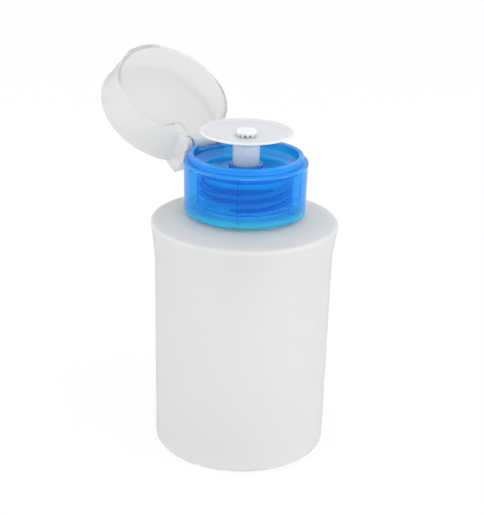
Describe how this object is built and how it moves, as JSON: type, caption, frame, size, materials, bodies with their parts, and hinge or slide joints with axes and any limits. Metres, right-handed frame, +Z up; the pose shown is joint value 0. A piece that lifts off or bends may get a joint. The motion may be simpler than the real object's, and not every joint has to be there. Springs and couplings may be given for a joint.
{
  "type": "push-down pump bottle",
  "caption": "Round bottle for contact lens solution with a push-down dispensing dish, a screw-on collar and a hinged dust lid that stands open.",
  "frame": {"origin": "centre of the ring that the bottle stands on, at table height", "axes": "+Z up along the bottle's axis; -Y towards the viewer of the picture; the lid opens back and to the left, 132 degrees from +X towards +Y"},
  "size_m": [0.093, 0.0963, 0.1469],
  "materials": {
    "bottle_wall": "satin translucent natural polyethylene",
    "lid_plastic": "glossy translucent natural polypropylene",
    "collar_plastic": "glossy translucent blue polypropylene",
    "dish_plastic": "glossy translucent natural polypropylene",
    "pump_plastic": "plain natural polypropylene",
    "seal_plastic": "soft polyethylene",
    "gasket_foam": "closed-cell polyethylene foam",
    "steel": "stainless",
    "tube_plastic": "translucent polyethylene tube"
  },
  "bodies": {
    "bottle": {"bottle": "bottle_wall"},
    "pump_insert": {"gasket": "gasket_foam", "guide_bush": "pump_plastic", "pump_housing": "pump_plastic", "dip_tube": "tube_plastic", "spring": "steel"},
    "collar": {"collar": "collar_plastic"},
    "lid": {"lid": "lid_plastic"},
    "plunger": {"dish": "dish_plastic", "outlet_cap": "dish_plastic", "piston_rod": "pump_plastic", "piston_seal": "seal_plastic", "piston_clip": "pump_plastic"},
    "inlet_valve": {"inlet_ball": "steel"},
    "outlet_valve": {"outlet_ball": "steel"}
  },
  "joints": [
    {"name": "pump_lift", "type": "slide", "parent": "bottle", "child": "pump_insert", "axis": [0, 0, 1], "range_m": [0, 0.00526]},
    {"name": "collar_turn", "type": "hinge", "parent": "pump_insert", "child": "collar", "pos_m": [0, 0, 0.1], "axis": [0, 0, 1], "range_deg": [0, 540]},
    {"name": "lid_hinge", "type": "hinge", "parent": "collar", "child": "lid", "pos_m": [-0.01653, 0.01836, 0.1165], "axis": [-0.7431, -0.6691, 0], "range_deg": [-143, 0]},
    {"name": "pump_press", "type": "slide", "parent": "pump_insert", "child": "plunger", "axis": [0, 0, -1], "range_m": [0, 0.0054], "stiffness_N_per_m": 1500, "springref_m": -0.003, "deforming": ["spring"]},
    {"name": "inlet_lift", "type": "slide", "parent": "pump_insert", "child": "inlet_valve", "axis": [0, 0, 1], "range_m": [0, 0.001]},
    {"name": "outlet_lift", "type": "slide", "parent": "plunger", "child": "outlet_valve", "axis": [0, 0, 1], "range_m": [0, 0.001]}
  ],
  "couplings": [
    {"joint": "pump_lift", "follows": "collar_turn", "m_per_rad": 0.00055704}
  ]
}
